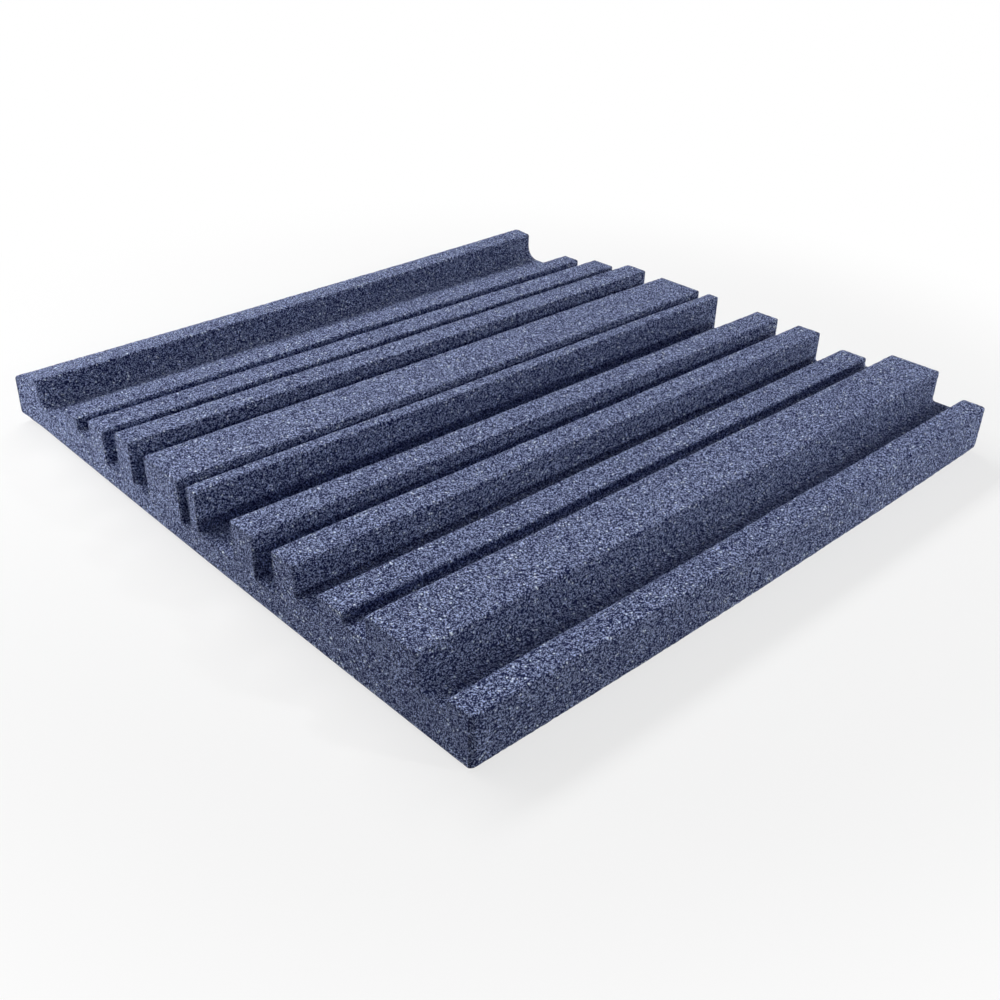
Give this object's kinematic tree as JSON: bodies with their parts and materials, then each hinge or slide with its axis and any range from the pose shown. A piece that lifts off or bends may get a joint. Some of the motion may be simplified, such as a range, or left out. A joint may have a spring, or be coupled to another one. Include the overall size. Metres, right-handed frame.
{
  "type": "acoustic panel",
  "caption": "Square acoustic foam tile with parallel ridges of unlike width and height on a flat back, held up by peel-off adhesive squares; absorbs sound reflections in a room.",
  "frame": {"origin": "middle of the tile, on the plane of the five release liners' outer faces, which the tile lies on", "axes": "+Z out of the ridged face, away from the wall or floor; +X along the ridges; +Y across them, from the edge beside the widest ridge (front) to the edge with the tall border ridge (back)"},
  "size_m": [0.5, 0.5, 0.0508],
  "materials": {
    "foam": "matte",
    "adhesive_tape": "matte",
    "release_paper": "satin"
  },
  "bodies": {
    "root": {"foam_panel": "foam", "adhesive_pad_front_left": "adhesive_tape", "adhesive_pad_front_right": "adhesive_tape", "adhesive_pad_back_left": "adhesive_tape", "adhesive_pad_back_right": "adhesive_tape", "adhesive_pad_centre": "adhesive_tape", "release_liner_front_left": "release_paper", "release_liner_front_right": "release_paper", "release_liner_back_left": "release_paper", "release_liner_back_right": "release_paper", "release_liner_centre": "release_paper"}
  },
  "joints": []
}
